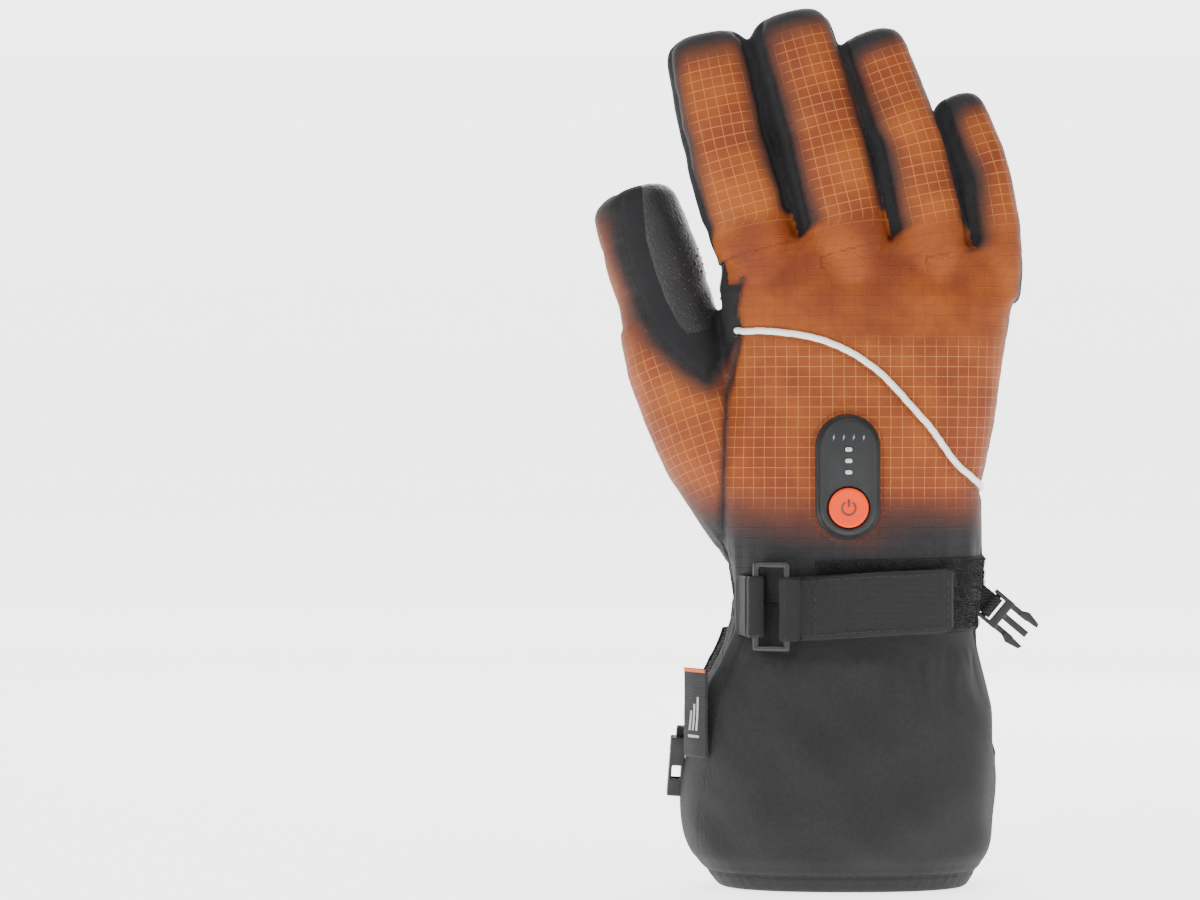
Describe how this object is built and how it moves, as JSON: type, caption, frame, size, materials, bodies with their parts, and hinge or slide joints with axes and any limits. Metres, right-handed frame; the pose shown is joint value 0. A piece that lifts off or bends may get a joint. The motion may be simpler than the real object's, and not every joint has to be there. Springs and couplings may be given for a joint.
{
  "type": "ski glove",
  "caption": "Insulated heated ski glove for the right hand with a zipped gauntlet, wrist strap, reflective piping and a button controller on its back.",
  "frame": {"origin": "centre of the hem opening that the hand enters, in the plane the hem stands on", "axes": "+Z from the hem to the fingertips, +X from the thumb side to the little finger side, -Y out of the back of the hand, +Y out of the palm"},
  "size_m": [0.1658, 0.0899, 0.3297],
  "materials": {
    "ripstop_orange": "matt coated ripstop weave",
    "softshell_dark": "matt brushed softshell",
    "palm_leather": "matt embossed synthetic leather",
    "touch_leather": "smooth satin synthetic leather",
    "fleece": "matt brushed fleece",
    "wadding": "matt loose wadding",
    "reflective_cord": "satin retroreflective weave",
    "strap_webbing": "matt ribbed webbing",
    "hook_tape": "matt hook and loop tape",
    "buckle_plastic": "satin moulded plastic",
    "button_orange": "satin silicone",
    "light_lens": "gloss translucent lens",
    "circuit_board": "satin solder mask",
    "zip_nylon": "satin moulded coil",
    "slider_metal": "satin painted zinc",
    "pull_rubber": "matt moulded rubber",
    "battery_shell": "satin shrink wrap",
    "elastic_cord": "matt braided elastic",
    "label_weave": "matt woven label"
  },
  "bodies": {
    "hand": {"back_shell": "ripstop_orange", "palm_panel": "palm_leather", "thumb_panel": "palm_leather", "hand_insulation": "wadding", "hand_lining": "fleece", "hem_binding": "softshell_dark", "cuff_shell_back": "softshell_dark", "cuff_shell_palm": "softshell_dark", "cuff_lining": "fleece", "wrist_elastic": "strap_webbing", "reflective_piping": "reflective_cord", "controller_housing": "buckle_plastic", "status_lights": "light_lens", "controller_board": "circuit_board", "heating_cord": "elastic_cord", "battery_pack": "battery_shell", "battery_pocket": "fleece", "battery_plug": "buckle_plastic", "zip_tape": "strap_webbing", "zip_chain": "zip_nylon", "strap_loop_panel": "hook_tape", "strap_anchor": "strap_webbing", "plug_webbing": "strap_webbing", "socket_webbing": "strap_webbing", "drawcord_strand_a": "elastic_cord", "drawcord_strand_b": "elastic_cord", "hem_eyelets": "slider_metal", "cord_lock_body": "buckle_plastic", "cord_lock_tab": "strap_webbing", "side_label": "label_weave"},
    "index_lower": {"index_lower_shell": "ripstop_orange", "index_lower_lining": "fleece"},
    "index_upper": {"index_upper_shell": "ripstop_orange", "index_upper_lining": "fleece", "index_touch_patch": "touch_leather"},
    "middle_lower": {"middle_lower_shell": "ripstop_orange", "middle_lower_lining": "fleece"},
    "middle_upper": {"middle_upper_shell": "ripstop_orange", "middle_upper_lining": "fleece"},
    "ring_lower": {"ring_lower_shell": "ripstop_orange", "ring_lower_lining": "fleece"},
    "ring_upper": {"ring_upper_shell": "ripstop_orange", "ring_upper_lining": "fleece"},
    "little_lower": {"little_lower_shell": "ripstop_orange", "little_lower_lining": "fleece"},
    "little_upper": {"little_upper_shell": "ripstop_orange", "little_upper_lining": "fleece"},
    "thumb_tip": {"thumb_shell": "ripstop_orange", "thumb_lining": "fleece"},
    "power_button": {"power_button": "button_orange"},
    "strap_ring": {"strap_ring": "buckle_plastic"},
    "strap_flap": {"strap_flap": "strap_webbing", "hook_patch": "hook_tape"},
    "clip_plug": {"clip_plug": "buckle_plastic"},
    "clip_socket": {"clip_socket": "buckle_plastic"},
    "zip_slider": {"zip_slider": "slider_metal"},
    "zip_pull": {"zip_pull_wire": "slider_metal", "zip_pull_tab": "pull_rubber"},
    "cord_lock_button": {"cord_lock_button": "buckle_plastic"}
  },
  "joints": [
    {"name": "index_knuckle_bend", "type": "hinge", "parent": "hand", "child": "index_lower", "pos_m": [-0.0325, 0, 0.2504], "axis": [-0.9799, 0, -0.1994], "range_deg": [0, 75], "stiffness_Nm_per_rad": 0.2},
    {"name": "index_middle_bend", "type": "hinge", "parent": "index_lower", "child": "index_upper", "pos_m": [-0.03847, 0.00157, 0.27976], "axis": [-0.9659, 0, -0.2588], "range_deg": [0, 80], "stiffness_Nm_per_rad": 0.12},
    {"name": "middle_knuckle_bend", "type": "hinge", "parent": "hand", "child": "middle_lower", "pos_m": [-0.0005, -0.0025, 0.2506], "axis": [-0.9877, 0, -0.1564], "range_deg": [0, 75], "stiffness_Nm_per_rad": 0.2},
    {"name": "middle_middle_bend", "type": "hinge", "parent": "middle_lower", "child": "middle_upper", "pos_m": [-0.00566, -0.00077, 0.28315], "axis": [-0.9511, 0, -0.309], "range_deg": [0, 80], "stiffness_Nm_per_rad": 0.12},
    {"name": "ring_knuckle_bend", "type": "hinge", "parent": "hand", "child": "ring_lower", "pos_m": [0.0318, 0, 0.2482], "axis": [-0.9833, 0, -0.1822], "range_deg": [0, 75], "stiffness_Nm_per_rad": 0.2},
    {"name": "ring_middle_bend", "type": "hinge", "parent": "ring_lower", "child": "ring_upper", "pos_m": [0.02598, 0.00168, 0.27962], "axis": [-0.9304, 0, -0.3665], "range_deg": [0, 80], "stiffness_Nm_per_rad": 0.12},
    {"name": "little_knuckle_bend", "type": "hinge", "parent": "hand", "child": "little_lower", "pos_m": [0.0604, 0.007, 0.2428], "axis": [-0.9833, 0, -0.1822], "range_deg": [0, 75], "stiffness_Nm_per_rad": 0.2},
    {"name": "little_middle_bend", "type": "hinge", "parent": "little_lower", "child": "little_upper", "pos_m": [0.05586, 0.00874, 0.26732], "axis": [-0.9537, 0, -0.3007], "range_deg": [0, 80], "stiffness_Nm_per_rad": 0.12},
    {"name": "thumb_bend", "type": "hinge", "parent": "hand", "child": "thumb_tip", "pos_m": [-0.0663, 0.0173, 0.2226], "axis": [-0.7066, 0.6363, -0.3095], "range_deg": [0, 35], "stiffness_Nm_per_rad": 0.2},
    {"name": "power_button_press", "type": "slide", "parent": "hand", "child": "power_button", "axis": [0, 1, 0], "range_m": [0, 0.0008], "stiffness_N_per_m": 900},
    {"name": "strap_ring_tilt", "type": "hinge", "parent": "hand", "child": "strap_ring", "pos_m": [-0.0326, -0.0246, 0.106], "axis": [0, 0, -1], "range_deg": [0, 45]},
    {"name": "strap_flap_peel", "type": "hinge", "parent": "strap_ring", "child": "strap_flap", "pos_m": [-0.0214, -0.0288, 0.106], "axis": [0, 0, -1], "range_deg": [0, 110]},
    {"name": "clip_plug_swing", "type": "hinge", "parent": "hand", "child": "clip_plug", "pos_m": [0.0582, 0.015, 0.105], "axis": [-0.6428, 0, -0.766], "range_deg": [-35, 35]},
    {"name": "clip_socket_swing", "type": "hinge", "parent": "hand", "child": "clip_socket", "pos_m": [-0.0608, 0.013, 0.053], "axis": [0, 1, 0], "range_deg": [0, 60]},
    {"name": "zip_run", "type": "hinge", "parent": "hand", "child": "zip_slider", "pos_m": [0, -0.0644, 0.025], "axis": [-0.0593, 0, 0.9982], "range_deg": [-43, 0]},
    {"name": "zip_pull_flip", "type": "hinge", "parent": "zip_slider", "child": "zip_pull", "pos_m": [-0.04276, 0.0355, 0.02246], "axis": [-0.0593, 0, 0.9982], "range_deg": [0, 150]},
    {"name": "cord_lock_press", "type": "slide", "parent": "hand", "child": "cord_lock_button", "axis": [0.8387, -0.5446, 0], "range_m": [0, 0.0016], "stiffness_N_per_m": 400}
  ]
}
